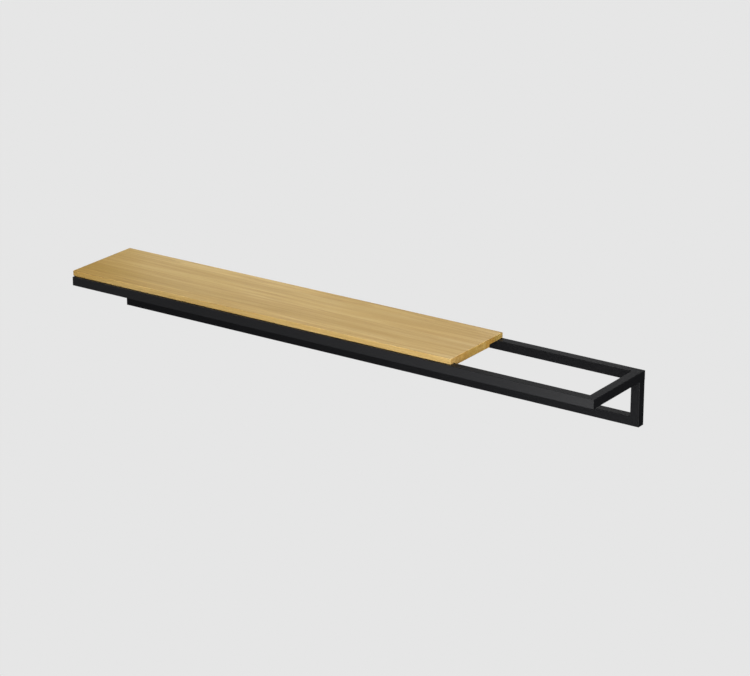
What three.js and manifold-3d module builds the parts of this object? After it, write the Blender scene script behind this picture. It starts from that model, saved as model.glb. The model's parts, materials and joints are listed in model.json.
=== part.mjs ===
// Bicycle wall rack: a welded frame of square steel tube, with an oak board screwed on
// over its left part and an open bay left at its right end.
//
// Millimetres, +Z up. X runs along the wall, from left to right as seen from the room.
// The wall is the plane Y = 0 and the rack stands out from it into -Y. The origin is the
// middle of the upper rear rail's wall face.

import * as THREE from 'three';
import { mergeVertices } from 'three/addons/utils/BufferGeometryUtils.js';
import Module from 'manifold-3d';

// Frame.
const FRAME_LENGTH = 1310;
const FRAME_DEPTH = 200;
const FRAME_HEIGHT = 116;
const TUBE_SIDE = 20;
const TUBE_WALL = 1.5;
const TUBE_CORNER_RADIUS = 1;
const BORE_CORNER_RADIUS = 0.5;
const CORNER_SEGMENTS = 3;
const JOINT_GAP = 0.3;

// Board: one thickness of wood, rebated at the front, at the back and at the left so that its
// edges lie on the frame, and the tongue left between the rebates locates it. It stands a little
// over the frame's left end.
const BOARD_LENGTH = 980;
const BOARD_OVERHANG = 3;
const BOARD_FRONT_INSET = 5.6;
const BOARD_LIP = 12;
const BOARD_TONGUE = 6;
const TONGUE_CLEARANCE = 1;
const REAR_REBATE = 50;
const STAVE_COUNT = 6;

// Pan-head wood screws, driven up through the two upper rails into the board.
const SCREWS_PER_RAIL = 4;
const SCREW_END_MARGIN = 60;
const SCREW_LENGTH = 30;
const SCREW_SHANK_RADIUS = 2;
const SCREW_POINT_LENGTH = 4;
const SCREW_POINT_RADIUS = 0.3;
const SCREW_HEAD_RADIUS = 4;
const SCREW_HEAD_RIM = 0.8;
const SCREW_HEAD_HEIGHT = 2.6;
const HEAD_ARC_STEPS = 5;
const SCREW_SIDES = 16;
const SCREW_CLEARANCE = 0.3;
const RECESS_SPAN = 4.4;
const RECESS_WIDTH = 1.1;
const RECESS_DEPTH = 1.7;
const FRONT_SCREW_OFFSET = 13;
const REAR_SCREW_OFFSET = 10;

// Keyholes in the wall side of the rear rails. A wall screw's head goes in through the round
// part, and the rack then drops so that the shank moves up into the slot.
const KEYHOLE_HEAD_RADIUS = 4.5;
const KEYHOLE_SLOT_RADIUS = 2.5;
const KEYHOLE_RISE = 7;
const KEYHOLE_CENTRE_DROP = 3;
const KEYHOLE_SEGMENTS = 8;
const UPPER_KEYHOLES = [-580, -190, 190, 580];
const LOWER_KEYHOLES = [-580, 580];

// Places that follow from the sizes above.
const HALF_LENGTH = FRAME_LENGTH / 2;
const HALF_TUBE = TUBE_SIDE / 2;
const RAIL_TOP = HALF_TUBE;
const RAIL_BOTTOM = -HALF_TUBE;
const FRAME_BOTTOM = RAIL_TOP - FRAME_HEIGHT;
const BOARD_LEFT = -HALF_LENGTH - BOARD_OVERHANG;
const BOARD_FRONT = -FRAME_DEPTH + BOARD_FRONT_INSET;
const STAVE_WIDTH = -BOARD_FRONT / STAVE_COUNT;
const TONGUE_FRONT = -FRAME_DEPTH + TUBE_SIDE + TONGUE_CLEARANCE;
const TONGUE_REAR = -REAR_REBATE;
const TONGUE_BOTTOM = RAIL_TOP - BOARD_TONGUE;
const BOARD_TOP = RAIL_TOP + BOARD_LIP;
const HOLE_RADIUS = SCREW_SHANK_RADIUS + SCREW_CLEARANCE;
const FRONT_SCREW_ROW = -FRAME_DEPTH + FRONT_SCREW_OFFSET;
const REAR_SCREW_ROW = -REAR_SCREW_OFFSET;
const CUTTER_SIZE = 4 * TUBE_SIDE;

const LENGTHWISE = new THREE.Vector3(1, 0, 0);
const QUARTER_TURN = Math.PI / 2;

const STEEL = new THREE.MeshStandardMaterial({ color: 0x232325, roughness: 0.5, metalness: 0.3 });
const OAK = new THREE.MeshStandardMaterial({ color: 0xbe9f68, roughness: 0.6, metalness: 0 });
const SCREW_STEEL = new THREE.MeshStandardMaterial({ color: 0x55565a, roughness: 0.35, metalness: 0.9 });

const wasm = await Module();
wasm.setup();

// A closed geometry as a solid that can be joined and cut.
function solidFrom(geometry) {
  const bare = geometry.clone();
  bare.deleteAttribute('normal');
  bare.deleteAttribute('uv');
  const merged = mergeVertices(bare);
  return new wasm.Manifold(new wasm.Mesh({
    numProp: 3,
    vertProperties: new Float32Array(merged.attributes.position.array),
    triVerts: new Uint32Array(merged.index.array),
  }));
}

// A solid back as a flat-shaded geometry.
function geometryFrom(solid) {
  const { vertProperties, triVerts } = solid.getMesh();
  const indexed = new THREE.BufferGeometry();
  indexed.setAttribute('position', new THREE.BufferAttribute(vertProperties, 3));
  indexed.setIndex(new THREE.BufferAttribute(triVerts, 1));
  const flat = indexed.toNonIndexed();
  flat.computeVertexNormals();
  return flat;
}

function cutAll(geometry, cutters) {
  const cut = cutters.reduce((solid, cutter) => solid.subtract(solidFrom(cutter)), solidFrom(geometry));
  return geometryFrom(cut);
}

// A closed rounded square about the section's centre, drawn into a Shape or a Path.
function drawRoundedSquare(path, side, radius) {
  const inner = side / 2 - radius;
  [[inner, inner], [-inner, inner], [-inner, -inner], [inner, -inner]].forEach(([u, v], corner) => {
    path.absarc(u, v, radius, corner * QUARTER_TURN, (corner + 1) * QUARTER_TURN, false);
  });
  path.closePath();
  return path;
}

// A straight square tube along X, centred on the origin.
function squareTube(length) {
  const section = drawRoundedSquare(new THREE.Shape(), TUBE_SIDE, TUBE_CORNER_RADIUS);
  const boreSide = TUBE_SIDE - 2 * TUBE_WALL;
  section.holes.push(drawRoundedSquare(new THREE.Path(), boreSide, BORE_CORNER_RADIUS));
  const tube = new THREE.ExtrudeGeometry(section, {
    depth: length,
    bevelEnabled: false,
    curveSegments: CORNER_SEGMENTS,
  });
  return tube.translate(0, 0, -length / 2).rotateY(QUARTER_TURN);
}

// A block that takes off one end of a tube along X, at 45 degrees. end is -1 or 1, and longSide
// points to the side of the tube that keeps its full length.
function mitreCutter(length, end, longSide) {
  const outward = LENGTHWISE.clone().multiplyScalar(end).sub(longSide).normalize();
  const corner = LENGTHWISE.clone().multiplyScalar(end * length / 2).addScaledVector(longSide, HALF_TUBE);
  const centre = corner.addScaledVector(outward, CUTTER_SIZE / 2 - JOINT_GAP / 2);
  const turn = new THREE.Quaternion().setFromUnitVectors(LENGTHWISE, outward);
  const block = new THREE.BoxGeometry(CUTTER_SIZE, CUTTER_SIZE, CUTTER_SIZE);
  return block.applyQuaternion(turn).translate(centre.x, centre.y, centre.z);
}

function mitredTube(length, longSide, ends = [-1, 1]) {
  return cutAll(squareTube(length), ends.map((end) => mitreCutter(length, end, longSide)));
}

// A round cutter along Z through both walls of a tube.
function screwHoleCutter(x, y) {
  return new THREE.CylinderGeometry(HOLE_RADIUS, HOLE_RADIUS, 2 * TUBE_SIDE, SCREW_SIDES)
    .rotateX(QUARTER_TURN)
    .translate(x, y, 0);
}

// A keyhole-shaped cutter through a rear rail's wall side, in the rail's own frame.
function keyholeCutter(x) {
  const flare = Math.acos(KEYHOLE_SLOT_RADIUS / KEYHOLE_HEAD_RADIUS);
  const outline = new THREE.Shape();
  outline.absarc(0, 0, KEYHOLE_HEAD_RADIUS, Math.PI - flare, 2 * Math.PI + flare, false);
  outline.absarc(0, KEYHOLE_RISE, KEYHOLE_SLOT_RADIUS, 0, Math.PI, false);
  outline.closePath();
  const depth = 2 * TUBE_WALL;
  return new THREE.ExtrudeGeometry(outline, { depth, bevelEnabled: false, curveSegments: KEYHOLE_SEGMENTS })
    .rotateX(QUARTER_TURN)
    .translate(x, HALF_TUBE + depth / 2, -KEYHOLE_CENTRE_DROP);
}

// Places of the board screws along X.
function screwPlaces() {
  const span = BOARD_LENGTH - 2 * SCREW_END_MARGIN;
  return Array.from({ length: SCREWS_PER_RAIL }, (_, i) => (
    BOARD_LEFT + SCREW_END_MARGIN + i * span / (SCREWS_PER_RAIL - 1)
  ));
}

// The cross section of the stave between two depths, with the tongue's step where it has one.
// The section's u is Y and its v is Z.
function staveSection(front, rear) {
  const steps = [TONGUE_FRONT, TONGUE_REAR].filter((y) => y > front && y < rear);
  const edges = [front, ...steps, rear];
  const corners = [];
  for (let i = 1; i < edges.length; i += 1) {
    const middle = (edges[i - 1] + edges[i]) / 2;
    const underside = middle > TONGUE_FRONT && middle < TONGUE_REAR ? TONGUE_BOTTOM : RAIL_TOP;
    corners.push([edges[i - 1], underside], [edges[i], underside]);
  }
  corners.push([rear, BOARD_TOP], [front, BOARD_TOP]);
  return new THREE.Shape(corners.map(([y, z]) => new THREE.Vector2(y, z)));
}

function staveGeometry(index) {
  const front = BOARD_FRONT + index * STAVE_WIDTH;
  const rear = BOARD_FRONT + (index + 1) * STAVE_WIDTH;
  const blank = new THREE.ExtrudeGeometry(staveSection(front, rear), {
    depth: BOARD_LENGTH,
    bevelEnabled: false,
  });
  const alongX = new THREE.Matrix4().makeBasis(
    new THREE.Vector3(0, 1, 0),
    new THREE.Vector3(0, 0, 1),
    LENGTHWISE,
  );
  return blank.applyMatrix4(alongX).translate(BOARD_LEFT, 0, 0);
}

// A block that takes the tongue off over the left arm.
function leftRebateCutter() {
  const reach = TUBE_SIDE + TONGUE_CLEARANCE;
  return new THREE.BoxGeometry(2 * reach, 2 * FRAME_DEPTH, TUBE_SIDE)
    .translate(-HALF_LENGTH, 0, RAIL_TOP - HALF_TUBE);
}

// A blind hole up into the board for a screw's point.
function pilotCutter(x, y) {
  const top = RAIL_BOTTOM + SCREW_LENGTH + SCREW_CLEARANCE;
  return new THREE.CylinderGeometry(HOLE_RADIUS, HOLE_RADIUS, SCREW_LENGTH, SCREW_SIDES)
    .rotateX(QUARTER_TURN)
    .translate(x, y, top - SCREW_LENGTH / 2);
}

// A pan-head screw that points up, with its head's seat at Z = 0.
function screwGeometry() {
  const domeHeight = SCREW_HEAD_HEIGHT - SCREW_HEAD_RIM;
  const profile = [[0, SCREW_LENGTH], [SCREW_POINT_RADIUS, SCREW_LENGTH]];
  profile.push([SCREW_SHANK_RADIUS, SCREW_LENGTH - SCREW_POINT_LENGTH], [SCREW_SHANK_RADIUS, 0]);
  profile.push([SCREW_HEAD_RADIUS, 0]);
  for (let step = 0; step < HEAD_ARC_STEPS; step += 1) {
    const angle = step / HEAD_ARC_STEPS * QUARTER_TURN;
    profile.push([SCREW_HEAD_RADIUS * Math.cos(angle), -SCREW_HEAD_RIM - domeHeight * Math.sin(angle)]);
  }
  profile.push([0, -SCREW_HEAD_HEIGHT]);
  const points = profile.reverse().map(([r, z]) => new THREE.Vector2(r, z));
  const body = new THREE.LatheGeometry(points, SCREW_SIDES).rotateX(QUARTER_TURN);
  const arms = [[RECESS_SPAN, RECESS_WIDTH], [RECESS_WIDTH, RECESS_SPAN]].map(([u, v]) => (
    new THREE.BoxGeometry(u, v, 2 * RECESS_DEPTH).translate(0, 0, -SCREW_HEAD_HEIGHT)
  ));
  return cutAll(body, arms);
}

function namedMesh(name, geometry, material, position = [0, 0, 0], rotation = [0, 0, 0]) {
  const mesh = new THREE.Mesh(geometry, material);
  mesh.name = name;
  mesh.position.set(...position);
  mesh.rotation.set(...rotation);
  return mesh;
}

function buildRails() {
  const group = new THREE.Group();
  const frontCentre = -FRAME_DEPTH + HALF_TUBE;
  const rearCentre = -HALF_TUBE;
  const towardsRoom = new THREE.Vector3(0, -1, 0);
  const towardsWall = new THREE.Vector3(0, 1, 0);
  const down = new THREE.Vector3(0, 0, -1);
  const front = cutAll(
    mitredTube(FRAME_LENGTH, towardsRoom),
    screwPlaces().map((x) => screwHoleCutter(x, FRONT_SCREW_ROW - frontCentre)),
  );
  const upper = cutAll(
    mitredTube(FRAME_LENGTH, towardsWall),
    [
      ...screwPlaces().map((x) => screwHoleCutter(x, REAR_SCREW_ROW - rearCentre)),
      ...UPPER_KEYHOLES.map(keyholeCutter),
    ],
  );
  const lower = cutAll(mitredTube(FRAME_LENGTH, down), LOWER_KEYHOLES.map(keyholeCutter));
  group.add(
    namedMesh('front_rail', front, STEEL, [0, frontCentre, 0]),
    namedMesh('upper_rear_rail', upper, STEEL, [0, rearCentre, 0]),
    namedMesh('lower_rear_rail', lower, STEEL, [0, rearCentre, FRAME_BOTTOM + HALF_TUBE]),
  );
  return group;
}

// The arms join the front rail to the upper rear rail. Each keeps its full length on its outer side.
function buildArms() {
  const group = new THREE.Group();
  const outerSide = new THREE.Vector3(0, 1, 0);
  [['left_arm', -1], ['right_arm', 1]].forEach(([name, side]) => {
    const position = [side * (HALF_LENGTH - HALF_TUBE), -FRAME_DEPTH / 2, 0];
    const arm = mitredTube(FRAME_DEPTH, outerSide);
    group.add(namedMesh(name, arm, STEEL, position, [0, 0, -side * QUARTER_TURN]));
  });
  return group;
}

// The posts butt up under the rear corners and are mitred to the lower rear rail at the bottom.
function buildPosts() {
  const group = new THREE.Group();
  const outerSide = new THREE.Vector3(0, 0, 1);
  const top = RAIL_BOTTOM - JOINT_GAP;
  const length = top - FRAME_BOTTOM;
  [['left_post', -1], ['right_post', 1]].forEach(([name, side]) => {
    const position = [side * (HALF_LENGTH - HALF_TUBE), -HALF_TUBE, (top + FRAME_BOTTOM) / 2];
    const post = mitredTube(length, outerSide, [side]);
    group.add(namedMesh(name, post, STEEL, position, [0, side * QUARTER_TURN, 0]));
  });
  return group;
}

function buildBoard() {
  const group = new THREE.Group();
  const rows = new Map([[0, FRONT_SCREW_ROW], [STAVE_COUNT - 1, REAR_SCREW_ROW]]);
  for (let index = 0; index < STAVE_COUNT; index += 1) {
    const row = rows.get(index);
    const pilots = row === undefined ? [] : screwPlaces().map((x) => pilotCutter(x, row));
    const stave = cutAll(staveGeometry(index), [leftRebateCutter(), ...pilots]);
    group.add(namedMesh(`board_stave_${index + 1}`, stave, OAK));
  }
  return group;
}

function buildScrews() {
  const group = new THREE.Group();
  const geometry = screwGeometry();
  const seat = RAIL_BOTTOM - SCREW_CLEARANCE;
  [FRONT_SCREW_ROW, REAR_SCREW_ROW].forEach((y, row) => {
    screwPlaces().forEach((x, i) => {
      const name = `board_screw_${row * SCREWS_PER_RAIL + i + 1}`;
      group.add(namedMesh(name, geometry, SCREW_STEEL, [x, y, seat]));
    });
  });
  return group;
}

const rack = new THREE.Group();
rack.add(buildRails(), buildArms(), buildPosts(), buildBoard(), buildScrews());

export default rack;
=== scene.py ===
"""The looks of the bicycle wall rack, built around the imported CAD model.

Everything is in metres, in the row's frame: +X along the wall, +Y into the wall, +Z up, with
the origin in the middle of the upper rear rail's wall face.
"""
import json
import math

import bmesh
import bpy
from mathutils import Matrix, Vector


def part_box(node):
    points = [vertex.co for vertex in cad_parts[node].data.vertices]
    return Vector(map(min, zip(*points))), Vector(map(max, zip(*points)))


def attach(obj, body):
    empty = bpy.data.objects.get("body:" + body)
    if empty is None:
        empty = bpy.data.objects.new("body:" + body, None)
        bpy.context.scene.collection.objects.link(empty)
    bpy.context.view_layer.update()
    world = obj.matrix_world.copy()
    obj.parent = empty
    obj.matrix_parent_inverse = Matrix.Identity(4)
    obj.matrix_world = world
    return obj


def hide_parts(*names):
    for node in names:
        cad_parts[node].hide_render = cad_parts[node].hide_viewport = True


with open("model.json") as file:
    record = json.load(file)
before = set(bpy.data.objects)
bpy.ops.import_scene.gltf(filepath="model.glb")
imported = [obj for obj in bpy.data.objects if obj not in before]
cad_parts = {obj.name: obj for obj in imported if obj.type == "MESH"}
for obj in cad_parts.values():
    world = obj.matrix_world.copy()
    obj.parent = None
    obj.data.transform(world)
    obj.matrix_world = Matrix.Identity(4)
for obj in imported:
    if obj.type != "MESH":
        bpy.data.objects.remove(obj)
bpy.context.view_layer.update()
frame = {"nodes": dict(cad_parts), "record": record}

MM = 0.001
BODY = "root"

# Steel tube.
TUBE_WALL = 1.5 * MM
TUBE_CORNER_RADIUS = 1 * MM
BORE_CORNER_RADIUS = 0.5 * MM
TUBE_CORNER_STEPS = 6
SHARP_ANGLE = math.radians(32)

# Welds left in the inner corners.
WELD_LEG = 2.2 * MM
WELD_RIPPLE_PITCH = 1.6 * MM
WELD_RIPPLE_HEIGHT = 0.12 * MM
WELD_STEPS = 64
WELD_ARC_STEPS = 6
WELD_SINK = 0.3 * MM
WELD_END_INSET = 2 * MM
WELD_TAPER = 14
WELD_LEAST_TAPER = 0.05
WELD_CROWN = 0.14
WELD_SHARP_ANGLE = math.radians(60)

# Keyholes in the wall side of the rear rails, and clearance holes for the board screws.
KEYHOLE_HEAD_RADIUS = 4.5 * MM
KEYHOLE_SLOT_RADIUS = 2.5 * MM
KEYHOLE_RISE = 7 * MM
KEYHOLE_DROP = 3 * MM
KEYHOLE_ARC_STEPS = 24
SCREW_HOLE_RADIUS = 2.3 * MM
HOLE_SIDES = 32

# Board: the tongue under it keeps clear of the tubes in front and at the left, and stops short of
# the wall. PLANE_MARGIN tells one plane of the board from the next.
TONGUE_CLEARANCE = 1 * MM
REAR_REBATE = 50 * MM
BOARD_EDGE_RADIUS = 1.2 * MM
BOARD_EDGE_STEPS = 3
BEVEL_ANGLE = math.radians(30)
PLANE_MARGIN = 1 * MM
SAME_PLANE = 0.05 * MM
MERGE_DISTANCE = 0.01 * MM
FLAT_ANGLE = math.radians(1)

# Board screws.
SCREW_SHANK_RADIUS = 2.0 * MM
SCREW_CORE_RADIUS = 1.35 * MM
SCREW_PITCH = 1.8 * MM
SCREW_PLAIN_LENGTH = 9 * MM
SCREW_POINT_LENGTH = 5 * MM
SCREW_HEAD_RADIUS = 4.0 * MM
SCREW_HEAD_RIM = 0.7 * MM
SCREW_SIDES = 32
SCREW_ROWS_PER_TURN = 8
SCREW_HEAD_ROWS = 10
SCREW_TIP = 0.1 * MM
SCREW_RUN_OUT = 0.6 * MM
SCREW_SHANK_SHARE = 0.95
HEAD_EDGE_IN = 0.2 * MM
HEAD_EDGE_DOWN = 0.15 * MM
HEAD_FULLNESS = 0.8
THREAD_HALF_WIDTH = 0.22
SCREW_SHARP_ANGLE = math.radians(40)
RECESS_SPAN = 4.6 * MM
RECESS_WIDTH = 1.15 * MM
RECESS_DEPTH = 1.8 * MM
RECESS_FLOOR_SPAN = 0.55
RECESS_FLOOR_WIDTH = 0.73

# Camera: the photograph's viewing angle.
CAMERA_YAW = math.radians(34.62)
CAMERA_PITCH = math.radians(19.84)
CAMERA_DISTANCE = 5.912
CAMERA_TARGET = (0.0738, -0.1, -0.0118)
CAMERA_LENS = 137.45
CAMERA_SENSOR = 36
VIEW_BACK = Vector((
    math.sin(CAMERA_YAW) * math.cos(CAMERA_PITCH),
    -math.cos(CAMERA_YAW) * math.cos(CAMERA_PITCH),
    math.sin(CAMERA_PITCH),
))

# A pale floor and backdrop, both further off than any view of the rack.
BACKDROP_TONE = 0.791
BACKDROP_RADIUS = 30
BACKDROP_SEGMENTS = 64
FLOOR_DROP = 8

# Studio lights.
LIGHT_DISTANCE = 3.0
REAR_LIGHT_DISTANCE = 0.25
REAR_LIGHT_HEIGHT = 0.12
REAR_LIGHT_AIM = -0.05
WORLD_TONE = 0.06

# Name, azimuth and elevation in degrees, size and power.
DOME_LIGHTS = [
    ("key_front", 20, 0, 2.0, 98),
    ("key_right", 60, 15, 2.0, 60),
    ("over_right", 90, 70, 1.6, 82),
    ("fill_left", 270, 30, 1.6, 20),
    ("rim_wall", 180, 5, 1.3, 11.6),
]

# Name, place along X, lean to the right, size and power.
REAR_LIGHTS = [
    ("rear_left", -0.55, 0.20, 0.45, 0.40),
    ("rear_middle", -0.25, 0.15, 0.45, 0.18),
    ("rear_right", 0.30, 0.15, 0.35, 0.14),
]

# Name, place along X that the camera sees it mirrored at, distance from there, size and power.
RAIL_CARDS = [
    ("card_left", -0.5, 1.8, 1.2, 3.3),
    ("card_middle", 0.6, 1.0, 0.7, 1.76),
    ("card_right", 0.8, 0.5, 0.35, 0.80),
]

# Powder coat. Specular is how strongly it mirrors, against 0.5 for plain plastic. Texture scales
# are per metre, and a facing span says which faces count as a tube's rounded corner.
COAT_SPECULAR = 0.2
COAT_DARK = (0.0036, 0.0037, 0.0045)
COAT_LIGHT = (0.0048, 0.0049, 0.0058)
# The lighter corner colour on the next line is partly edge wear and partly a painted highlight on the rounded
# tube corners.
COAT_RUB_AND_HIGHLIGHT = (0.014, 0.014, 0.015)
COAT_ROUGHNESS = (0.42, 0.52)
COAT_PEEL_SCALE = 750
COAT_GRIT_SCALE = 3200
COAT_CLOUD_SCALE = 9
COAT_STREAK_SCALE = 30
COAT_RUB_AND_HIGHLIGHT_SCALE = 60
COAT_CORNER_FACING = (0.98, 0.78)
COAT_RUB_AND_HIGHLIGHT_MIX = 0.8
COAT_RUB_POLISH = 0.06
COAT_PEEL_HEIGHT = 0.05 * MM
COAT_GRIT_HEIGHT = 0.015 * MM

# Oiled oak: how strongly it mirrors, and how far its warmer left end and the painted sheen on the
# right end of its top reach along the board.
OAK_SPECULAR = 0.3
WARM_END_LENGTH = 0.20
PAINTED_SHEEN_END_LENGTH = 0.45

# The oak's colours, how much of each is mixed in, and the scales of its texture per metre.
OAK_STREAKS = [
    (0.30, (0.349, 0.223, 0.064)),
    (0.50, (0.427, 0.294, 0.099)),
    (0.72, (0.502, 0.370, 0.149)),
]
OAK_EARLY_WOOD = (0.27, 0.16, 0.046)
OAK_FIBRE = (0.558, 0.433, 0.175)
OAK_PORE = (0.108, 0.057, 0.016)
OAK_CLOUD = (0.36, 0.227, 0.062)
OAK_EARLY_MIX = 0.32
OAK_FIBRE_MIX = 0.28
OAK_PORE_MIX = 0.55
OAK_CLOUD_MIX = 0.12
OAK_RING_SCALE = 135.0
OAK_STREAK_SCALE = 95
OAK_FIBRE_SCALE = 900
OAK_PORE_SCALE = 3200
OAK_CLOUD_SCALE = 6
OAK_ROUGHNESS = (0.46, 0.58)
OAK_END_ROUGHER = 0.12
OAK_RELIEF = 0.12 * MM

# How much the oak's textures are drawn out along the grain, for the rings, streaks, fibres and pores.
RING_STRETCH = 0.05
STREAK_STRETCH = 0.032
FIBRE_STRETCH = 0.012
PORE_STRETCH = 0.03

# A face counts as top or end grain where its normal is between these two.
FACING_SPAN = (0.5, 0.9)

# Black zinc on the screws.
ZINC_DARK = (0.055, 0.055, 0.062)
ZINC_LIGHT = (0.12, 0.118, 0.125)
ZINC_METALLIC = 0.95
ZINC_ROUGHNESS = (0.24, 0.42)
ZINC_MOTTLE_SCALE = 1500
ZINC_LINE_SCALE = 1800
ZINC_LINE_HEIGHT = 0.02 * MM


# ---------------------------------------------------------------- frame measures

def corners(node):
    """Lowest and highest corner of a CAD node."""
    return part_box(node)


def frame_outline():
    """The outer planes of the welded frame, from the CAD tubes."""
    front, upper = corners("front_rail"), corners("upper_rear_rail")
    left, right = corners("left_arm"), corners("right_arm")
    lower = corners("lower_rear_rail")
    return {
        "left": left[0].x, "right": right[1].x,
        "front": front[0].y, "wall": upper[1].y,
        "top": front[1].z, "low": lower[0].z,
        "side": front[1].z - front[0].z,
    }


OUT = frame_outline()
SIDE = OUT["side"]
HALF = SIDE / 2
BOARD_RIGHT = corners("board_stave_1")[1].x


# ---------------------------------------------------------------- mesh helpers

def new_piece(name, verts, faces, material, replaces=()):
    """A mesh object that rides on the rack."""
    mesh = bpy.data.meshes.new(name)
    mesh.from_pydata([tuple(v) for v in verts], [], faces)
    mesh.validate()
    piece = bpy.data.objects.new(name, mesh)
    bpy.context.scene.collection.objects.link(piece)
    mesh.materials.append(material)
    finish_piece(piece, replaces)
    return piece


def finish_piece(piece, replaces=()):
    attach(piece, BODY)
    if replaces:
        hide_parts(*replaces)


def face_outward(piece):
    """Gives all faces one outward direction."""
    bm = bmesh.new()
    bm.from_mesh(piece.data)
    bmesh.ops.recalc_face_normals(bm, faces=bm.faces)
    bm.to_mesh(piece.data)
    bm.free()


def smooth_by_angle(piece, angle=SHARP_ANGLE):
    """Smooth shading with sharp edges kept, and flat faces left flat."""
    bm = bmesh.new()
    bm.from_mesh(piece.data)
    for face in bm.faces:
        face.smooth = True
    for edge in bm.edges:
        edge.smooth = len(edge.link_faces) == 2 and edge.calc_face_angle(0) < angle
    bm.to_mesh(piece.data)
    bm.free()
    weighted = piece.modifiers.new("flat_faces", "WEIGHTED_NORMAL")
    weighted.keep_sharp = True


def apply_modifiers(piece):
    """Turns the modified shape into the piece's own mesh."""
    evaluated = piece.evaluated_get(bpy.context.evaluated_depsgraph_get())
    old = piece.data
    piece.data = bpy.data.meshes.new_from_object(evaluated)
    piece.modifiers.clear()
    piece.data.name = old.name
    bpy.data.meshes.remove(old)


def cut(piece, cutters):
    """Cuts closed meshes out of a piece, then removes them."""
    for cutter in cutters:
        boolean = piece.modifiers.new("cut", "BOOLEAN")
        boolean.operation = "DIFFERENCE"
        boolean.solver = "EXACT"
        boolean.object = cutter
    bpy.context.view_layer.update()
    apply_modifiers(piece)
    for cutter in cutters:
        bpy.data.objects.remove(cutter)


def prism(name, outline, axis, low, high):
    """A cutter with a closed outline, extruded along axis 'Y' or 'Z' between two places."""
    def place(u, v, w):
        return (u, w, v) if axis == "Y" else (u, v, w)
    count = len(outline)
    verts = [place(u, v, w) for w in (low, high) for u, v in outline]
    sides = [(i, (i + 1) % count, (i + 1) % count + count, i + count) for i in range(count)]
    faces = [tuple(range(count))[::-1], tuple(range(count, 2 * count))] + sides
    mesh = bpy.data.meshes.new(name)
    mesh.from_pydata(verts, [], faces)
    cutter = bpy.data.objects.new(name, mesh)
    bpy.context.scene.collection.objects.link(cutter)
    face_outward(cutter)
    return cutter


def arc(centre, radius, start, end, steps):
    """Points on an arc, both ends included."""
    return [
        (centre[0] + radius * math.cos(start + (end - start) * i / steps),
         centre[1] + radius * math.sin(start + (end - start) * i / steps))
        for i in range(steps + 1)
    ]


# ---------------------------------------------------------------- materials

class Nodes:
    """Short calls to build one material's node tree."""

    def __init__(self, name):
        self.material = bpy.data.materials.new(name)
        self.material.use_nodes = True
        self.tree = self.material.node_tree
        self.shader = self.tree.nodes["Principled BSDF"]

    def add(self, kind, inputs=None, **settings):
        node = self.tree.nodes.new(kind)
        for key, value in settings.items():
            setattr(node, key, value)
        for key, value in (inputs or {}).items():
            self.feed(node.inputs[key], value)
        return node

    def feed(self, socket, value):
        if isinstance(value, bpy.types.NodeSocket):
            self.tree.links.new(value, socket)
        else:
            socket.default_value = value

    def place(self, offset=(0, 0, 0), turn=(0, 0, 0), scale=(1, 1, 1)):
        """Object coordinates in metres, turned, scaled and shifted."""
        source = self.add("ShaderNodeTexCoord").outputs["Object"]
        return self.mapped(source, offset, turn, scale)

    def mapped(self, source, offset=(0, 0, 0), turn=(0, 0, 0), scale=(1, 1, 1)):
        inputs = {"Vector": source, "Location": offset, "Rotation": turn, "Scale": scale}
        return self.add("ShaderNodeMapping", inputs).outputs["Vector"]

    def noise(self, vector, scale, detail=2.0, roughness=0.5, distortion=0.0):
        inputs = {"Vector": vector, "Scale": scale, "Detail": detail,
                  "Roughness": roughness, "Distortion": distortion}
        return self.add("ShaderNodeTexNoise", inputs).outputs["Fac"]

    def math(self, operation, first, second=0.0, third=0.0, clamp=False):
        node = self.add("ShaderNodeMath", operation=operation, use_clamp=clamp)
        for index, value in enumerate((first, second, third)):
            self.feed(node.inputs[index], value)
        return node.outputs[0]

    def span(self, value, low, high, to_low=0.0, to_high=1.0):
        """Maps low..high to to_low..to_high, clamped."""
        inputs = {"Value": value, "From Min": low, "From Max": high,
                  "To Min": to_low, "To Max": to_high}
        return self.add("ShaderNodeMapRange", inputs).outputs["Result"]

    def ramp(self, value, stops):
        node = self.add("ShaderNodeValToRGB", {"Fac": value})
        elements = node.color_ramp.elements
        while len(elements) < len(stops):
            elements.new(0.5)
        for element, (position, colour) in zip(elements, stops):
            element.position = position
            element.color = (*colour, 1)
        return node.outputs["Color"]

    def mix(self, factor, first, second, blend="MIX"):
        node = self.add("ShaderNodeMix", data_type="RGBA", blend_type=blend)
        self.feed(node.inputs[0], factor)
        self.feed(node.inputs[6], first if not isinstance(first, tuple) else (*first, 1))
        self.feed(node.inputs[7], second if not isinstance(second, tuple) else (*second, 1))
        return node.outputs[2]

    def bump(self, height, distance, strength=1.0, below=None):
        inputs = {"Height": height, "Distance": distance, "Strength": strength}
        if below is not None:
            inputs["Normal"] = below
        return self.add("ShaderNodeBump", inputs).outputs["Normal"]

    def shade(self, **inputs):
        for key, value in inputs.items():
            self.feed(self.shader.inputs[key.replace("_", " ")], value)
        return self.material


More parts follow.
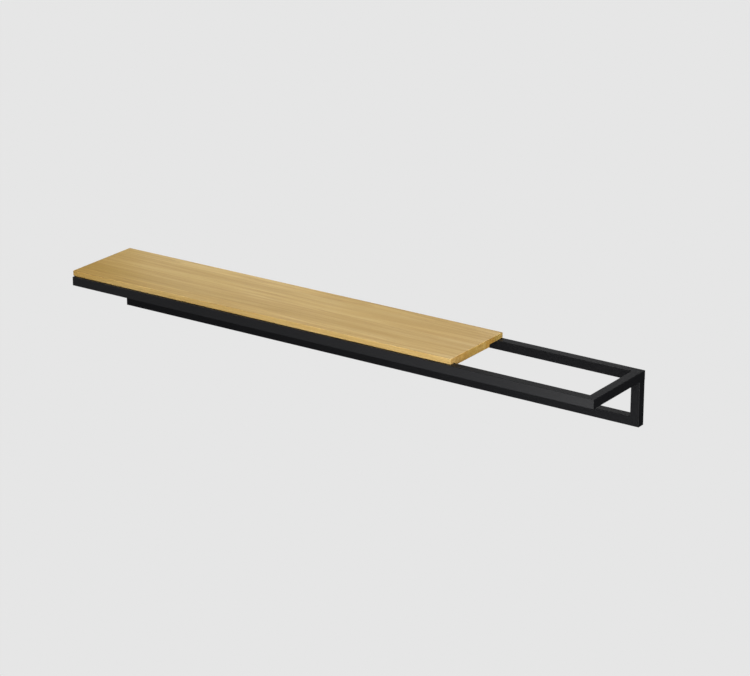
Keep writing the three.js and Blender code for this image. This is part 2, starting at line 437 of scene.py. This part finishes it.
def powder_coat():
    """Satin black powder coat: fine orange peel, faint handling marks, and rounded tube corners lightened
    partly as edge wear and partly as a painted highlight.
    """
    n = Nodes("powder_coat_black")
    place = n.place()
    peel = n.noise(place, COAT_PEEL_SCALE, detail=3.0, roughness=0.6)
    grit = n.noise(place, COAT_GRIT_SCALE, detail=1.0)
    cloud = n.noise(place, COAT_CLOUD_SCALE, detail=3.0, roughness=0.6)
    streaks = n.noise(n.place(scale=(1, 6, 6)), COAT_STREAK_SCALE, detail=4.0, roughness=0.65)
    normal = n.add("ShaderNodeNewGeometry").outputs["True Normal"]
    axes = n.add("ShaderNodeSeparateXYZ", {0: normal}).outputs
    widest = n.math("MAXIMUM", n.math("ABSOLUTE", axes[0]), n.math("ABSOLUTE", axes[1]))
    widest = n.math("MAXIMUM", widest, n.math("ABSOLUTE", axes[2]))
    corner = n.span(widest, *COAT_CORNER_FACING)
    # Rounded corners broken up by noise, lightened below: partly edge wear, partly a painted highlight along
    # the corners.
    rub_and_highlight = n.math("MULTIPLY", corner, n.span(n.noise(place, COAT_RUB_AND_HIGHLIGHT_SCALE, detail=4.0), 0.38, 0.62))
    colour = n.ramp(cloud, [(0.3, COAT_DARK), (0.7, COAT_LIGHT)])
    colour = n.mix(n.math("MULTIPLY", rub_and_highlight, COAT_RUB_AND_HIGHLIGHT_MIX), colour, COAT_RUB_AND_HIGHLIGHT)
    rough = n.span(streaks, 0.25, 0.75, *COAT_ROUGHNESS)
    rough = n.math("SUBTRACT", rough, n.math("MULTIPLY", rub_and_highlight, COAT_RUB_POLISH))
    bumped = n.bump(peel, COAT_PEEL_HEIGHT, 0.5)
    bumped = n.bump(grit, COAT_GRIT_HEIGHT, 0.5, below=bumped)
    return n.shade(Base_Color=colour, Roughness=rough, Normal=bumped, Specular_IOR_Level=COAT_SPECULAR)


def oak(name, look):
    """Oiled oak cut from a log whose heart runs along X: rings, pores, streaks, end grain."""
    n = Nodes(name)
    turn = (0, math.radians(look["turn"][0]), math.radians(look["turn"][1]))
    straight = n.place(offset=(look["shift"], *look["pith"]), turn=turn)
    grain = n.mapped(straight, scale=(RING_STRETCH, 1, 1))
    rings = n.add("ShaderNodeTexWave", {
        "Vector": grain, "Scale": OAK_RING_SCALE, "Distortion": 5.0, "Detail": 3.0,
        "Detail Scale": 0.35, "Detail Roughness": 0.6,
    }, wave_type="RINGS", rings_direction="X", wave_profile="SAW").outputs["Fac"]
    drawn = {"streak": STREAK_STRETCH, "fibre": FIBRE_STRETCH, "pore": PORE_STRETCH}
    drawn = {key: n.mapped(straight, scale=(stretch, 1, 1)) for key, stretch in drawn.items()}
    streaks = n.noise(drawn["streak"], OAK_STREAK_SCALE, detail=3.0, roughness=0.55)
    fibres = n.noise(drawn["fibre"], OAK_FIBRE_SCALE, detail=2.0, roughness=0.6)
    pores = n.noise(drawn["pore"], OAK_PORE_SCALE, detail=1.0)
    cloud = n.noise(straight, OAK_CLOUD_SCALE, detail=2.0)
    early = n.span(rings, 0.62, 0.98)
    pore = n.math("MULTIPLY", n.span(pores, 0.60, 0.68), n.span(early, 0.1, 0.8, 0.25, 1.0))
    colour = n.ramp(streaks, OAK_STREAKS)
    colour = n.mix(n.math("MULTIPLY", early, OAK_EARLY_MIX), colour, OAK_EARLY_WOOD)
    colour = n.mix(n.span(fibres, 0.35, 0.75, 0.0, OAK_FIBRE_MIX), colour, OAK_FIBRE)
    colour = n.mix(n.math("MULTIPLY", pore, OAK_PORE_MIX), colour, OAK_PORE)
    colour = n.mix(n.span(cloud, 0.3, 0.7, 0.0, OAK_CLOUD_MIX), colour, OAK_CLOUD)
    colour = n.mix(1.0, colour, look["tone"], blend="MULTIPLY")
    normal = n.add("ShaderNodeNewGeometry").outputs["True Normal"]
    facing = n.add("ShaderNodeSeparateXYZ", {0: normal}).outputs
    along = n.add("ShaderNodeSeparateXYZ", {0: n.place()}).outputs[0]
    warm = n.span(along, OUT["left"], OUT["left"] + WARM_END_LENGTH, 1.0, 0.0)
    colour = n.mix(warm, colour, look["left"], blend="MULTIPLY")
    # Painted sheen: the right end of the board's top is lifted towards a pale blue-white, most on the front
    # staves, and a little darker on the rear ones.
    pale = n.span(along, BOARD_RIGHT - PAINTED_SHEEN_END_LENGTH, BOARD_RIGHT, 0.0, 1.0)
    pale = n.math("MULTIPLY", pale, n.span(facing[2], *FACING_SPAN))
    colour = n.mix(pale, colour, look["right"], blend="MULTIPLY")
    end = n.span(n.math("ABSOLUTE", facing[0]), *FACING_SPAN)
    colour = n.mix(end, colour, n.mix(1.0, colour, look["end"], blend="MULTIPLY"))
    height = n.math("SUBTRACT", n.math("MULTIPLY", fibres, 0.5), pore)
    height = n.math("SUBTRACT", height, n.math("MULTIPLY", early, 0.4))
    rough = n.span(fibres, 0.3, 0.7, *OAK_ROUGHNESS)
    rough = n.math("ADD", rough, n.math("MULTIPLY", end, OAK_END_ROUGHER))
    return n.shade(Base_Color=colour, Roughness=rough, Normal=n.bump(height, OAK_RELIEF, 0.6),
                   Specular_IOR_Level=OAK_SPECULAR)


def black_zinc():
    """Black zinc plating on a turned screw: faint turning lines and mottled passivation."""
    n = Nodes("black_zinc_steel")
    place = n.place()
    mottled = n.noise(place, ZINC_MOTTLE_SCALE, detail=3.0, roughness=0.6)
    lines = n.noise(n.place(scale=(1, 1, 12)), ZINC_LINE_SCALE, detail=2.0)
    colour = n.ramp(mottled, [(0.3, ZINC_DARK), (0.7, ZINC_LIGHT)])
    rough = n.span(mottled, 0.3, 0.7, *ZINC_ROUGHNESS)
    return n.shade(Base_Color=colour, Metallic=ZINC_METALLIC, Roughness=rough,
                   Normal=n.bump(lines, ZINC_LINE_HEIGHT, 0.4))


def flat_tone(name, tone):
    """An even, unlit tone for the floor and the backdrop."""
    material = bpy.data.materials.new(name)
    material.use_nodes = True
    nodes, links = material.node_tree.nodes, material.node_tree.links
    glow = nodes.new("ShaderNodeEmission")
    glow.inputs["Color"].default_value = (tone, tone, tone, 1)
    links.new(glow.outputs[0], nodes["Material Output"].inputs["Surface"])
    return material


STEEL = powder_coat()
SCREW_STEEL = black_zinc()


# ---------------------------------------------------------------- steel frame

def rounded_square(side, radius, steps):
    """Outline of a square section with round corners, anticlockwise."""
    inner = side / 2 - radius
    points = []
    for quarter, (u, v) in enumerate(((inner, inner), (-inner, inner), (-inner, -inner), (inner, -inner))):
        start = quarter * math.pi / 2
        points += arc((u, v), radius, start, start + math.pi / 2, steps)
    return points


def tube_mesh(start, end, long_side, mitres):
    """A hollow square tube between two points. long_side is the side that keeps its full length
    at a mitred end, and mitres says which of the two ends are mitred."""
    start, end, long_side = Vector(start), Vector(end), Vector(long_side)
    along = (end - start).normalized()
    across = along.cross(long_side)
    outer = rounded_square(SIDE, TUBE_CORNER_RADIUS, TUBE_CORNER_STEPS)
    bore = rounded_square(SIDE - 2 * TUBE_WALL, BORE_CORNER_RADIUS, TUBE_CORNER_STEPS)
    count = len(outer)
    verts = []
    for section in (outer, bore):
        for point, direction, mitred in ((start, along, mitres[0]), (end, -along, mitres[1])):
            for u, v in section:
                inset = (HALF - u) if mitred else 0
                verts.append(point + long_side * u + across * v + direction * inset)
    faces = []
    for i in range(count):
        j = (i + 1) % count
        faces.append((i, j, j + count, i + count))
        faces.append((i + 2 * count, i + 3 * count, j + 3 * count, j + 2 * count))
        faces.append((i, i + 2 * count, j + 2 * count, j))
        faces.append((i + count, j + count, j + 3 * count, i + 3 * count))
    return verts, faces


def tube(name, start, end, long_side, mitres=(True, True), cutters=()):
    verts, faces = tube_mesh(start, end, long_side, mitres)
    piece = new_piece(f"{name}_coated", verts, faces, STEEL, [name])
    face_outward(piece)
    if cutters:
        cut(piece, cutters)
    smooth_by_angle(piece)
    return piece


def screw_places():
    """Where the board screws stand in X and Y, from the CAD screws."""
    names = sorted(n for n in frame["nodes"] if n.startswith("board_screw_"))
    return {n: (corners(n)[0] + corners(n)[1]) / 2 for n in names}


def screw_hole(place):
    outline = arc((place.x, place.y), SCREW_HOLE_RADIUS, 0, 2 * math.pi, HOLE_SIDES)[:-1]
    return prism("hole", outline, "Z", -SIDE, SIDE)


def keyhole(x, z):
    """A keyhole cutter through the wall side of a rail whose middle is at z."""
    flare = math.acos(KEYHOLE_SLOT_RADIUS / KEYHOLE_HEAD_RADIUS)
    low, high = (x, z - KEYHOLE_DROP), (x, z - KEYHOLE_DROP + KEYHOLE_RISE)
    outline = arc(low, KEYHOLE_HEAD_RADIUS, math.pi - flare, 2 * math.pi + flare, KEYHOLE_ARC_STEPS)
    outline += arc(high, KEYHOLE_SLOT_RADIUS, 0, math.pi, KEYHOLE_ARC_STEPS)
    return prism("keyhole", outline, "Y", OUT["wall"] - 2 * TUBE_WALL, OUT["wall"] + TUBE_WALL)


def keyhole_places(rail):
    """The middle of each keyhole in a rail, from the record's openings."""
    boxes = [o["box_m"] for o in frame["record"]["physics"]["openings"]
             if o["name"].startswith(f"keyhole_{rail}")]
    return [(low[0] + high[0]) / 2 for low, high in boxes]


def build_tubes():
    left, right = OUT["left"] + HALF, OUT["right"] - HALF
    front, rear = OUT["front"] + HALF, OUT["wall"] - HALF
    level, low = OUT["top"] - HALF, OUT["low"] + HALF
    places = screw_places().values()
    front_holes = [screw_hole(p) for p in places if p.y < (front + rear) / 2]
    rear_holes = [screw_hole(p) for p in places if p.y > (front + rear) / 2]
    upper_cuts = rear_holes + [keyhole(x, level) for x in keyhole_places("upper")]
    lower_cuts = [keyhole(x, low) for x in keyhole_places("lower")]
    ends = OUT["left"], OUT["right"]
    tube("front_rail", (ends[0], front, level), (ends[1], front, level), (0, -1, 0),
         cutters=front_holes)
    tube("upper_rear_rail", (ends[0], rear, level), (ends[1], rear, level), (0, 1, 0),
         cutters=upper_cuts)
    tube("lower_rear_rail", (ends[0], rear, low), (ends[1], rear, low), (0, 0, -1),
         cutters=lower_cuts)
    for name, x, outward in (("left", left, -1), ("right", right, 1)):
        tube(f"{name}_arm", (x, OUT["front"], level), (x, OUT["wall"], level), (outward, 0, 0))
        tube(f"{name}_post", (x, rear, OUT["low"]), (x, rear, level - HALF), (outward, 0, 0),
             mitres=(True, False))


def weld_bead(name, start, end, side_a, side_b):
    """A rippled fillet of weld in the corner between two faces. side_a and side_b point from the
    corner along the two faces."""
    start, end = Vector(start), Vector(end)
    side_a, side_b = Vector(side_a), Vector(side_b)
    length = (end - start).length
    ring = WELD_ARC_STEPS + 2
    verts = []
    for i in range(WELD_STEPS + 1):
        share = i / WELD_STEPS
        ripple = WELD_RIPPLE_HEIGHT * abs(math.sin(math.pi * share * length / WELD_RIPPLE_PITCH))
        taper = min(1.0, WELD_TAPER * share, WELD_TAPER * (1 - share)) ** 0.5
        leg = (WELD_LEG + ripple) * max(taper, WELD_LEAST_TAPER)
        centre = start.lerp(end, share)
        verts.append(centre - (side_a + side_b) * WELD_SINK)
        for k in range(WELD_ARC_STEPS + 1):
            angle = math.pi / 2 * k / WELD_ARC_STEPS
            swell = 1 - WELD_CROWN + WELD_CROWN * abs(math.cos(2 * angle))
            u, v = leg * math.cos(angle) * swell, leg * math.sin(angle) * swell
            if k == 0:
                v = -WELD_SINK
            if k == WELD_ARC_STEPS:
                u = -WELD_SINK
            verts.append(centre + side_a * u + side_b * v)
    faces = [tuple(range(ring)), tuple(range(WELD_STEPS * ring, (WELD_STEPS + 1) * ring))[::-1]]
    for i in range(WELD_STEPS):
        for k in range(ring):
            a, b = i * ring + k, i * ring + (k + 1) % ring
            faces.append((a, b, b + ring, a + ring))
    piece = new_piece(name, verts, faces, STEEL)
    face_outward(piece)
    smooth_by_angle(piece, WELD_SHARP_ANGLE)


def ground_weld(name, outer, inward):
    """Weld ground flush in the groove over a post's top, round its outer and its wall side. outer
    is the post's outer plane, and inward is the way along X from there into the post."""
    base, radius = OUT["top"] - SIDE, TUBE_CORNER_RADIUS
    groove = arc((radius, radius), radius, math.pi, 1.5 * math.pi, TUBE_CORNER_STEPS)
    section = [(0, -WELD_SINK)] + groove + [(radius, -WELD_SINK)]
    count = len(section)
    near, wall = OUT["wall"] - SIDE, OUT["wall"]
    verts = [(outer + inward * d, near, base + h) for d, h in section]
    verts += [(outer + inward * d, wall - d, base + h) for d, h in section]
    verts += [(outer + inward * SIDE, wall - d, base + h) for d, h in section]
    faces = [tuple(range(count)), tuple(range(2 * count, 3 * count))[::-1]]
    for row in (0, count):
        for i in range(count):
            j = (i + 1) % count
            faces.append((row + i, row + j, row + j + count, row + i + count))
    piece = new_piece(name, verts, faces, STEEL)
    face_outward(piece)
    smooth_by_angle(piece)


def build_welds():
    top, bottom = OUT["top"], OUT["top"] - SIDE
    low_top = OUT["low"] + SIDE
    for name, x, inward in (("left", OUT["left"] + SIDE, 1), ("right", OUT["right"] - SIDE, -1)):
        for end, y, into in (("front", OUT["front"] + SIDE, 1), ("rear", OUT["wall"] - SIDE, -1)):
            weld_bead(f"weld_{name}_{end}", (x, y, bottom + WELD_END_INSET), (x, y, top - WELD_END_INSET),
                      (inward, 0, 0), (0, into, 0))
        near, far = OUT["wall"] - SIDE + WELD_END_INSET, OUT["wall"] - WELD_END_INSET
        weld_bead(f"weld_{name}_post_top_inside", (x, near, bottom), (x, far, bottom),
                  (inward, 0, 0), (0, 0, -1))
        weld_bead(f"weld_{name}_post_foot_inside", (x, near, low_top), (x, far, low_top),
                  (inward, 0, 0), (0, 0, 1))
        y = OUT["wall"] - SIDE
        outer = x - inward * (SIDE - WELD_END_INSET)
        weld_bead(f"weld_{name}_post_top_front", (outer, y, bottom), (x - inward * WELD_END_INSET, y, bottom),
                  (0, -1, 0), (0, 0, -1))
        ground_weld(f"weld_{name}_post_top_ground", x - inward * SIDE, inward)


# ---------------------------------------------------------------- board

STAVE_LOOKS = [
    # heart of the log (Y, Z) in metres, turn about Y and Z in degrees, shift along X; tones of
    # the wood, of its left end, of the painted sheen on its top's right end and of its end grain
    {"pith": (0.158, 0.060), "turn": (0.6, -0.5), "shift": 0.3,
     "tone": (1.05, 1.01, 1.01), "left": (0.92, 0.86, 0.69),
     "right": (1.05, 1.12, 1.45), "end": (0.90, 0.81, 0.67)},
    {"pith": (0.240, 0.110), "turn": (-0.4, 0.3), "shift": 1.9,
     "tone": (0.95, 0.91, 0.89), "left": (0.96, 0.91, 0.72),
     "right": (1.07, 1.11, 1.37), "end": (1.04, 0.91, 0.63)},
    {"pith": (0.086, 0.045), "turn": (0.9, 0.4), "shift": 4.1,
     "tone": (1.02, 0.99, 1.02), "left": (1.01, 0.98, 0.89),
     "right": (0.95, 0.97, 1.15), "end": (0.99, 0.92, 0.64)},
    {"pith": (0.030, 0.095), "turn": (-0.7, -0.6), "shift": 7.7,
     "tone": (1.07, 1.05, 1.09), "left": (0.98, 0.95, 0.92),
     "right": (0.99, 1.01, 1.22), "end": (0.96, 0.87, 0.61)},
    {"pith": (0.150, 0.070), "turn": (0.5, 0.7), "shift": 11.3,
     "tone": (1.02, 1.00, 1.03), "left": (1.08, 1.08, 1.11),
     "right": (0.93, 0.93, 1.07), "end": (0.89, 0.72, 0.38)},
    {"pith": (0.020, 0.050), "turn": (-0.5, 0.2), "shift": 15.2,
     "tone": (1.08, 1.06, 1.12), "left": (0.97, 0.96, 0.94),
     "right": (0.91, 0.92, 1.06), "end": (0.84, 0.79, 0.53)},
]


def stave_section(front, rear, board):
    """A stave's outline in Y and Z, with the tongue's step where it has one."""
    steps = [y for y in board["tongue"] if front + PLANE_MARGIN < y < rear - PLANE_MARGIN]
    edges = [front, *steps, rear]
    outline = []
    for near, far in zip(edges, edges[1:]):
        middle = (near + far) / 2
        inside = board["tongue"][0] < middle < board["tongue"][1]
        low = board["tongue_bottom"] if inside else OUT["top"]
        outline += [(near, low), (far, low)]
    return outline + [(rear, board["top"]), (front, board["top"])]


def board_measures():
    """The board's planes, from the CAD staves and rails."""
    names = sorted(n for n in frame["nodes"] if n.startswith("board_stave_"))
    boxes = [corners(n) for n in names]
    return {
        "names": names, "boxes": boxes,
        "left": boxes[0][0].x, "right": boxes[0][1].x,
        "top": boxes[0][1].z, "tongue_bottom": min(b[0].z for b in boxes),
        "tongue": (OUT["front"] + SIDE + TONGUE_CLEARANCE, OUT["wall"] - REAR_REBATE),
        "tongue_left": OUT["left"] + SIDE + TONGUE_CLEARANCE,
    }


def prism_along_x(outline, low, high):
    count = len(outline)
    verts = [(x, y, z) for x in (low, high) for y, z in outline]
    faces = [tuple(range(count))[::-1], tuple(range(count, 2 * count))]
    faces += [(i, (i + 1) % count, (i + 1) % count + count, i + count) for i in range(count)]
    return verts, faces


def bevel_outer_edges(piece, joint_planes):
    """Rounds a stave's edges, except where it is glued to its neighbours."""
    bm = bmesh.new()
    bm.from_mesh(piece.data)
    bmesh.ops.remove_doubles(bm, verts=bm.verts, dist=MERGE_DISTANCE)
    bmesh.ops.dissolve_limit(bm, angle_limit=FLAT_ANGLE, verts=bm.verts, edges=bm.edges)

    def glued(face):
        return any(
            abs(face.normal.y) > 0.99 and abs(face.calc_center_median().y - y) < SAME_PLANE
            for y in joint_planes
        )
    edges = [
        e for e in bm.edges
        if len(e.link_faces) == 2 and e.calc_face_angle(0) > BEVEL_ANGLE
        and not any(glued(f) for f in e.link_faces)
    ]
    bmesh.ops.bevel(bm, geom=edges, offset=BOARD_EDGE_RADIUS, segments=BOARD_EDGE_STEPS,
                    profile=0.5, affect="EDGES")
    bm.to_mesh(piece.data)
    bm.free()


def build_board():
    board = board_measures()
    for index, (name, box, look) in enumerate(zip(board["names"], board["boxes"], STAVE_LOOKS)):
        wood = oak(f"oak_{index + 1}", look)
        front, rear = box[0].y, box[1].y
        outline = stave_section(front, rear, board)
        verts, faces = prism_along_x(outline, board["left"], board["right"])
        piece = new_piece(f"{name}_oiled", verts, faces, wood, [name])
        face_outward(piece)
        west, east = board["left"] - PLANE_MARGIN, board["tongue_left"]
        near, far = front - PLANE_MARGIN, rear + PLANE_MARGIN
        rebate = [(west, near), (east, near), (east, far), (west, far)]
        cut(piece, [prism("left_rebate", rebate, "Z", OUT["top"] - SIDE, OUT["top"])])
        outer = board["boxes"][0][0].y + PLANE_MARGIN, OUT["wall"] - PLANE_MARGIN
        planes = [y for y in (front, rear) if outer[0] < y < outer[1]]
        bevel_outer_edges(piece, planes)
        smooth_by_angle(piece)


# ---------------------------------------------------------------- board screws

def screw_rows(seat, tip, head_end):
    """(radius, height, in thread) rows of a pan-head wood screw, from its tip down to its head."""
    rows = []
    thread_end = seat + SCREW_PLAIN_LENGTH
    steps = round((tip - thread_end) / SCREW_PITCH * SCREW_ROWS_PER_TURN)
    for i in range(steps + 1):
        z = tip - (tip - thread_end) * i / steps
        taper = min(1.0, (tip - z + SCREW_TIP) / SCREW_POINT_LENGTH)
        rows.append((SCREW_CORE_RADIUS * taper, z, taper))
    shank = SCREW_SHANK_RADIUS * SCREW_SHANK_SHARE
    rows.append((shank, thread_end - SCREW_RUN_OUT, 0))
    rows.append((shank, seat, 0))
    rows.append((SCREW_HEAD_RADIUS - HEAD_EDGE_IN, seat, 0))
    rows.append((SCREW_HEAD_RADIUS, seat - HEAD_EDGE_DOWN, 0))
    rim = seat - SCREW_HEAD_RIM
    for i in range(SCREW_HEAD_ROWS):
        angle = math.pi / 2 * i / SCREW_HEAD_ROWS
        height = (rim - head_end) * math.sin(angle)
        rows.append((SCREW_HEAD_RADIUS * math.cos(angle) ** HEAD_FULLNESS, rim - height, 0))
    return rows


def screw_mesh(x, y, seat, tip, head_end):
    """A lathe-turned screw whose thread winds round the core."""
    verts = [(x, y, tip + SCREW_TIP)]
    rows = screw_rows(seat, tip, head_end)
    depth = SCREW_SHANK_RADIUS - SCREW_CORE_RADIUS
    for radius, z, thread in rows:
        for k in range(SCREW_SIDES):
            turn = k / SCREW_SIDES
            phase = ((tip - z) / SCREW_PITCH - turn) % 1.0
            ridge = max(0.0, 1 - abs(phase - 0.5) / THREAD_HALF_WIDTH) * depth
            r = radius + ridge * thread
            angle = 2 * math.pi * turn
            verts.append((x + r * math.cos(angle), y + r * math.sin(angle), z))
    verts.append((x, y, head_end))
    last = len(verts) - 1
    faces = [(0, 1 + (k + 1) % SCREW_SIDES, 1 + k) for k in range(SCREW_SIDES)]
    for row in range(len(rows) - 1):
        for k in range(SCREW_SIDES):
            a = 1 + row * SCREW_SIDES + k
            b = 1 + row * SCREW_SIDES + (k + 1) % SCREW_SIDES
            faces.append((a, b, b + SCREW_SIDES, a + SCREW_SIDES))
    base = 1 + (len(rows) - 1) * SCREW_SIDES
    faces += [(base + k, base + (k + 1) % SCREW_SIDES, last) for k in range(SCREW_SIDES)]
    return verts, faces


def recess_arm(x, y, z, turned):
    """One arm of the cross recess, narrower at its bottom."""
    verts = []
    floor = (RECESS_DEPTH, RECESS_FLOOR_SPAN, RECESS_FLOOR_WIDTH)
    for height, span, width in ((-SCREW_HEAD_RIM, 1.0, 1.0), floor):
        for u, v in ((-1, -1), (1, -1), (1, 1), (-1, 1)):
            a, b = u * RECESS_SPAN / 2 * span, v * RECESS_WIDTH / 2 * width
            a, b = (b, a) if turned else (a, b)
            verts.append((x + a, y + b, z + height))
    faces = [(0, 1, 2, 3), (4, 5, 6, 7), (0, 1, 5, 4), (1, 2, 6, 5), (2, 3, 7, 6), (3, 0, 4, 7)]
    mesh = bpy.data.meshes.new("recess")
    mesh.from_pydata(verts, [], faces)
    cutter = bpy.data.objects.new("recess", mesh)
    bpy.context.scene.collection.objects.link(cutter)
    face_outward(cutter)
    return cutter


def build_screws():
    seat = OUT["top"] - SIDE
    for name in screw_places():
        low, high = corners(name)
        x, y = (low.x + high.x) / 2, (low.y + high.y) / 2
        verts, faces = screw_mesh(x, y, seat, high.z, low.z)
        piece = new_piece(f"{name}_threaded", verts, faces, SCREW_STEEL, [name])
        face_outward(piece)
        cut(piece, [recess_arm(x, y, low.z, turned) for turned in (False, True)])
        smooth_by_angle(piece, SCREW_SHARP_ANGLE)


# ---------------------------------------------------------------- stage, lights, camera

def camera_only(piece):
    """The floor and the backdrop show, but cast and catch no light."""
    for ray in ("visible_diffuse", "visible_glossy", "visible_transmission", "visible_shadow"):
        setattr(piece, ray, False)


def build_stage():
    tone = flat_tone("pale_tone", BACKDROP_TONE)
    bpy.ops.mesh.primitive_plane_add(size=2 * BACKDROP_RADIUS, location=(0, 0, -FLOOR_DROP))
    floor = bpy.context.object
    floor.name = "floor"
    floor.data.materials.append(tone)
    camera_only(floor)
    bpy.ops.mesh.primitive_uv_sphere_add(
        segments=BACKDROP_SEGMENTS, ring_count=BACKDROP_SEGMENTS // 2, radius=BACKDROP_RADIUS)
    backdrop = bpy.context.object
    backdrop.name = "backdrop"
    backdrop.data.materials.append(tone)
    camera_only(backdrop)


def area_light(name, place, aim, size, power, only=None):
    """A square soft light at a place, turned to face aim. With only, it lights no other piece."""
    data = bpy.data.lights.new(name, "AREA")
    data.size = size
    data.energy = power
    light = bpy.data.objects.new(name, data)
    light.location = place
    light.visible_camera = False
    light.rotation_euler = (Vector(aim) - Vector(place)).to_track_quat("-Z", "Y").to_euler()
    bpy.context.scene.collection.objects.link(light)
    if only:
        lit = bpy.data.collections.new(f"{name}_lights_only")
        lit.objects.link(only)
        light.light_linking.receiver_collection = lit


def dome_light(name, azimuth, elevation, size, power):
    """A soft light on a dome over the rack. Azimuth 0 is straight in front, 90 at the right end."""
    around, above = math.radians(azimuth), math.radians(elevation)
    outward = Vector((
        math.sin(around) * math.cos(above), -math.cos(around) * math.cos(above), math.sin(above),
    ))
    centre = Vector((0, (OUT["front"] + OUT["wall"]) / 2, 0))
    area_light(name, centre + outward * LIGHT_DISTANCE, centre, size, power)


def rear_light(name, x, lean, size, power):
    """A weak soft light low behind the rack, as from a pale wall. It leans to the right by lean."""
    place = Vector((x, OUT["wall"] + REAR_LIGHT_DISTANCE, REAR_LIGHT_HEIGHT))
    aim = Vector((x + lean, REAR_LIGHT_AIM, OUT["top"]))
    area_light(name, place, aim, size, power)


def rail_card(name, rail, x, distance, size, power):
    """A card in front of and below the front rail, placed where the camera sees it mirrored."""
    seen = Vector((x, OUT["front"], 0))
    mirrored = Vector((-VIEW_BACK.x, VIEW_BACK.y, -VIEW_BACK.z))
    area_light(name, seen + mirrored * distance, seen, size, power, only=rail)


def build_lights():
    for name, azimuth, elevation, size, power in DOME_LIGHTS:
        dome_light(name, azimuth, elevation, size, power)
    for name, x, lean, size, power in REAR_LIGHTS:
        rear_light(name, x, lean, size, power)
    rail = bpy.data.objects["front_rail_coated"]
    for name, x, distance, size, power in RAIL_CARDS:
        rail_card(name, rail, x, distance, size, power)
    world = bpy.data.worlds.new("studio")
    bpy.context.scene.world = world
    world.use_nodes = True
    world.node_tree.nodes["Background"].inputs["Color"].default_value = (*[WORLD_TONE] * 3, 1)


def build_camera():
    data = bpy.data.cameras.new("camera")
    data.sensor_width = CAMERA_SENSOR
    data.lens = CAMERA_LENS
    camera = bpy.data.objects.new("camera", data)
    camera.location = Vector(CAMERA_TARGET) + VIEW_BACK * CAMERA_DISTANCE
    camera.rotation_euler = (-VIEW_BACK).to_track_quat("-Z", "Y").to_euler()
    bpy.context.scene.collection.objects.link(camera)
    bpy.context.scene.camera = camera


build_camera()
build_tubes()
build_welds()
build_board()
build_screws()
build_stage()
build_lights()
bpy.context.scene.view_settings.view_transform = "Standard"
